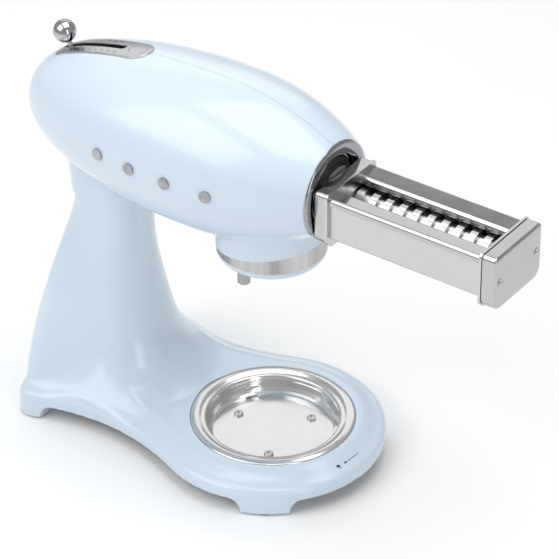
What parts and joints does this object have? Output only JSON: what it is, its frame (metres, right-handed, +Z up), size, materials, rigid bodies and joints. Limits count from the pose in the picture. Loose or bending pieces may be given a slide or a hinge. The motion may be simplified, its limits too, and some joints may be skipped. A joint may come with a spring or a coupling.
{
  "type": "tilt-head stand mixer with pasta cutter",
  "caption": "Electric tilt-head stand mixer with a rounded enamel head, planetary tool drive, bowl seat, speed lever and a roller pasta cutter plugged into its front hub.",
  "frame": {"origin": "on the ground under the middle of the whole machine's extent", "axes": "+X towards the nose and the pasta cutter, +Z up, the machine's near side is -Y"},
  "size_m": [0.5232, 0.219, 0.3864],
  "materials": {
    "blue": "gloss enamel",
    "grey_plastic": "fine texture",
    "zinc": "turned or zinc plated",
    "rubber": "matt",
    "black_rubber": "matt",
    "steel": "brushed",
    "cast": "as cast",
    "chrome": "polished",
    "dark_chrome": "polished, smoky",
    "dark_cast": "dark anodised",
    "brass": "sintered bronze",
    "motor": "satin",
    "board": "laminate",
    "gear_steel": "ground",
    "cutter_steel": "fine brushed",
    "cutter_chrome": "polished",
    "roller_steel": "machined",
    "black_plastic": "moulded"
  },
  "bodies": {
    "base": {"base_casting": "blue", "base_cover": "grey_plastic", "base_cover_screws": "zinc", "rubber_feet": "rubber", "bowl_dish": "steel", "bowl_dish_screws": "zinc", "mains_gland": "black_rubber", "hinge_bracket": "cast", "hinge_bracket_screws": "zinc", "hinge_pin": "zinc", "lock_spring": "zinc"},
    "lock": {"lock_button": "chrome"},
    "head": {"head_shell_left": "blue", "head_shell_right": "blue", "planetary_band": "chrome", "speed_plate": "steel", "side_trim_studs": "chrome", "head_frame": "cast", "planetary_bearing": "brass", "drive_bearings": "brass", "gear_motor": "motor", "speed_control_board": "board", "planetary_ring_gear": "cast", "hub_housing": "dark_cast", "hub_bezel": "dark_chrome", "lever_pivot_pin": "zinc"},
    "planetary": {"planetary_hub": "blue", "tool_shaft_bush": "brass", "planetary_shaft": "zinc", "face_gear": "gear_steel"},
    "tool": {"tool_shaft": "steel", "tool_drive_pin": "zinc", "planet_pinion": "gear_steel"},
    "motor_rotor": {"motor_shaft": "zinc", "motor_pinion": "gear_steel"},
    "hub_rotor": {"hub_drive_socket": "zinc", "hub_pinion": "gear_steel"},
    "lever": {"speed_lever": "zinc", "lever_ball": "chrome"},
    "cutter": {"drive_side_plate": "cutter_steel", "free_side_plate": "cutter_steel", "drive_side_cover": "cutter_chrome", "free_side_cover": "cutter_chrome", "coupling_tube": "cutter_chrome", "free_cover_screws": "zinc", "tie_rods": "zinc", "front_panel": "cutter_steel", "rear_panel": "cutter_steel", "front_hopper": "cutter_chrome", "rear_hopper": "cutter_chrome", "roller_bushes": "brass", "front_comb": "black_plastic", "rear_comb": "black_plastic"},
    "cutter_drive": {"cutter_drive_shaft": "zinc", "cutter_drive_gear": "gear_steel"},
    "front_roller": {"front_cutting_roller": "roller_steel", "roller_drive_gear": "gear_steel", "front_roller_gear": "gear_steel"},
    "rear_roller": {"rear_cutting_roller": "roller_steel", "rear_roller_gear": "gear_steel"}
  },
  "joints": [
    {"name": "head_tilt", "type": "hinge", "parent": "base", "child": "head", "pos_m": [-0.20175, 0, 0.227], "axis": [0, -1, 0], "range_deg": [0, 32]},
    {"name": "lock_press", "type": "slide", "parent": "base", "child": "lock", "axis": [1, 0, 0], "range_m": [0, 0.003], "stiffness_N_per_m": 900, "springref_m": -0.003, "deforming": ["lock_spring"]},
    {"name": "speed_lever", "type": "hinge", "parent": "head", "child": "lever", "pos_m": [-0.16025, 0, 0.271], "axis": [0, 1, 0], "range_deg": [0, 34]},
    {"name": "planetary_spin", "type": "hinge", "parent": "head", "child": "planetary", "pos_m": [0.00275, 0, 0.237], "axis": [0, 0, 1], "continuous": true},
    {"name": "tool_spin", "type": "hinge", "parent": "planetary", "child": "tool", "pos_m": [-0.01274, -0.02212, 0.237], "axis": [0, 0, 1], "continuous": true},
    {"name": "motor_spin", "type": "hinge", "parent": "head", "child": "motor_rotor", "pos_m": [-0.03725, 0, 0.312], "axis": [1, 0, 0], "continuous": true},
    {"name": "hub_spin", "type": "hinge", "parent": "head", "child": "hub_rotor", "pos_m": [0.05275, 0, 0.312], "axis": [1, 0, 0], "continuous": true},
    {"name": "cutter_pull", "type": "slide", "parent": "head", "child": "cutter", "axis": [1, 0, 0], "range_m": [0, 0.05]},
    {"name": "cutter_drive_spin", "type": "hinge", "parent": "cutter", "child": "cutter_drive", "pos_m": [0.07275, 0, 0.312], "axis": [1, 0, 0], "continuous": true},
    {"name": "front_roller_spin", "type": "hinge", "parent": "cutter", "child": "front_roller", "pos_m": [0.16275, -0.012, 0.30068], "axis": [1, 0, 0], "continuous": true},
    {"name": "rear_roller_spin", "type": "hinge", "parent": "cutter", "child": "rear_roller", "pos_m": [0.16275, 0.012, 0.30068], "axis": [1, 0, 0], "continuous": true}
  ],
  "couplings": [
    {"joint": "tool_spin", "follows": "planetary_spin", "ratio": -3.25},
    {"joint": "motor_spin", "follows": "planetary_spin", "ratio": -4},
    {"joint": "hub_spin", "follows": "planetary_spin", "ratio": 4},
    {"joint": "cutter_drive_spin", "follows": "planetary_spin", "ratio": 4},
    {"joint": "front_roller_spin", "follows": "planetary_spin", "ratio": -3.3333},
    {"joint": "rear_roller_spin", "follows": "planetary_spin", "ratio": 3.3333}
  ]
}
